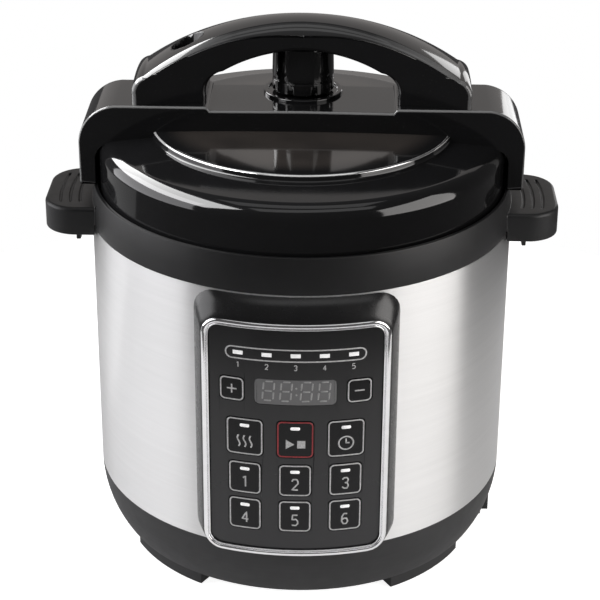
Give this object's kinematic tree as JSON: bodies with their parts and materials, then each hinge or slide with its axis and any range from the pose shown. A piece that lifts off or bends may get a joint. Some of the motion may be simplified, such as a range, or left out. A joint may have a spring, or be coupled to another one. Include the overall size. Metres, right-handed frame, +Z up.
{
  "type": "electric pressure cooker",
  "caption": "Round countertop electric pressure cooker: brushed steel body, black base and collar, front key panel, bayonet lid with arched handle, steam valve and lift-out pot.",
  "frame": {"origin": "on the counter, under the axis of the pot", "axes": "+Z up along the pot's axis, -Y towards the front with the key panel, +X to the viewer's right"},
  "size_m": [0.2674, 0.2411, 0.288],
  "materials": {
    "gloss_black": "gloss",
    "satin_black": "satin",
    "matt_black": "fine matt texture",
    "fascia_black": "gloss film",
    "sleeve_steel": "brushed",
    "pot_steel": "satin",
    "bright_trim": "polished",
    "heater_aluminium": "cast",
    "silicone": "matt",
    "foot_rubber": "matt",
    "clear_window": "tinted",
    "light_white": "diffusing",
    "board_green": "solder mask",
    "part_grey": "moulded",
    "brass_pins": "plated",
    "cup_clear": "translucent"
  },
  "bodies": {
    "base": {"base_shell": "matt_black", "foot_pads": "foot_rubber", "bottom_cover": "matt_black", "case_screws": "pot_steel", "steel_sleeve": "sleeve_steel", "upper_collar": "satin_black", "handle_cover_right": "satin_black", "handle_cover_left": "satin_black", "panel_housing": "gloss_black", "chrome_trim": "bright_trim", "panel_fascia": "fascia_black", "display_window": "clear_window", "display_module": "part_grey", "indicator_lights": "light_white", "control_board": "board_green", "key_switches": "part_grey", "outer_pot": "pot_steel", "lock_flange": "pot_steel", "heating_plate": "heater_aluminium", "heater_element": "pot_steel", "plate_standoffs": "pot_steel", "sensor_cup": "heater_aluminium", "sensor_sleeve": "pot_steel", "pressure_switch": "pot_steel", "thermal_fuse": "part_grey", "power_board": "board_green", "board_parts": "part_grey", "power_inlet": "matt_black", "inlet_pins": "brass_pins", "drip_cup_holder": "satin_black"},
    "inner_pot": {"inner_pot": "pot_steel"},
    "inner_lid": {"inner_lid": "pot_steel", "seal_ring": "silicone", "centre_post": "pot_steel"},
    "lid": {"lid_cover": "gloss_black", "lid_bridge": "gloss_black", "lid_handle": "gloss_black", "pressure_lid": "pot_steel", "valve_stem": "pot_steel", "valve_nut": "pot_steel", "block_shield": "pot_steel", "float_guide": "pot_steel", "lid_screws": "pot_steel"},
    "valve_knob": {"valve_knob": "gloss_black", "valve_weight": "pot_steel"},
    "float_pin": {"float_pin": "pot_steel", "float_gasket": "silicone"},
    "drip_cup": {"drip_cup": "cup_clear"},
    "key_hour": {"key_hour": "fascia_black"},
    "key_minute": {"key_minute": "fascia_black"},
    "key_warm": {"key_warm": "fascia_black"},
    "key_start": {"key_start": "fascia_black"},
    "key_timer": {"key_timer": "fascia_black"},
    "key_menu_1": {"key_menu_1": "fascia_black"},
    "key_menu_2": {"key_menu_2": "fascia_black"},
    "key_menu_3": {"key_menu_3": "fascia_black"},
    "key_menu_4": {"key_menu_4": "fascia_black"},
    "key_menu_5": {"key_menu_5": "fascia_black"},
    "key_menu_6": {"key_menu_6": "fascia_black"}
  },
  "joints": [
    {"name": "pot_lift", "type": "slide", "parent": "base", "child": "inner_pot", "axis": [0, 0, 1], "range_m": [0, 0.16]},
    {"name": "lid_lift", "type": "slide", "parent": "inner_pot", "child": "inner_lid", "axis": [0, 0, 1], "range_m": [0, 0.1]},
    {"name": "lid_turn", "type": "hinge", "parent": "inner_lid", "child": "lid", "pos_m": [0, 0, 0.2], "axis": [0, 0, 1], "range_deg": [0, 22.5]},
    {"name": "valve_turn", "type": "hinge", "parent": "lid", "child": "valve_knob", "pos_m": [0, 0.0115, 0.25], "axis": [0, 0, 1], "range_deg": [-40, 40]},
    {"name": "float_rise", "type": "slide", "parent": "lid", "child": "float_pin", "axis": [0, 0, 1], "range_m": [0, 0.005]},
    {"name": "cup_pull", "type": "slide", "parent": "base", "child": "drip_cup", "axis": [0, 1, 0], "range_m": [0, 0.04]},
    {"name": "key_hour_press", "type": "slide", "parent": "base", "child": "key_hour", "axis": [0, 1, 0], "range_m": [0, 0.0005], "stiffness_N_per_m": 3000},
    {"name": "key_minute_press", "type": "slide", "parent": "base", "child": "key_minute", "axis": [0, 1, 0], "range_m": [0, 0.0005], "stiffness_N_per_m": 3000},
    {"name": "key_warm_press", "type": "slide", "parent": "base", "child": "key_warm", "axis": [0, 1, 0], "range_m": [0, 0.0005], "stiffness_N_per_m": 3000},
    {"name": "key_start_press", "type": "slide", "parent": "base", "child": "key_start", "axis": [0, 1, 0], "range_m": [0, 0.0005], "stiffness_N_per_m": 3000},
    {"name": "key_timer_press", "type": "slide", "parent": "base", "child": "key_timer", "axis": [0, 1, 0], "range_m": [0, 0.0005], "stiffness_N_per_m": 3000},
    {"name": "key_menu_1_press", "type": "slide", "parent": "base", "child": "key_menu_1", "axis": [0, 1, 0], "range_m": [0, 0.0005], "stiffness_N_per_m": 3000},
    {"name": "key_menu_2_press", "type": "slide", "parent": "base", "child": "key_menu_2", "axis": [0, 1, 0], "range_m": [0, 0.0005], "stiffness_N_per_m": 3000},
    {"name": "key_menu_3_press", "type": "slide", "parent": "base", "child": "key_menu_3", "axis": [0, 1, 0], "range_m": [0, 0.0005], "stiffness_N_per_m": 3000},
    {"name": "key_menu_4_press", "type": "slide", "parent": "base", "child": "key_menu_4", "axis": [0, 1, 0], "range_m": [0, 0.0005], "stiffness_N_per_m": 3000},
    {"name": "key_menu_5_press", "type": "slide", "parent": "base", "child": "key_menu_5", "axis": [0, 1, 0], "range_m": [0, 0.0005], "stiffness_N_per_m": 3000},
    {"name": "key_menu_6_press", "type": "slide", "parent": "base", "child": "key_menu_6", "axis": [0, 1, 0], "range_m": [0, 0.0005], "stiffness_N_per_m": 3000}
  ]
}
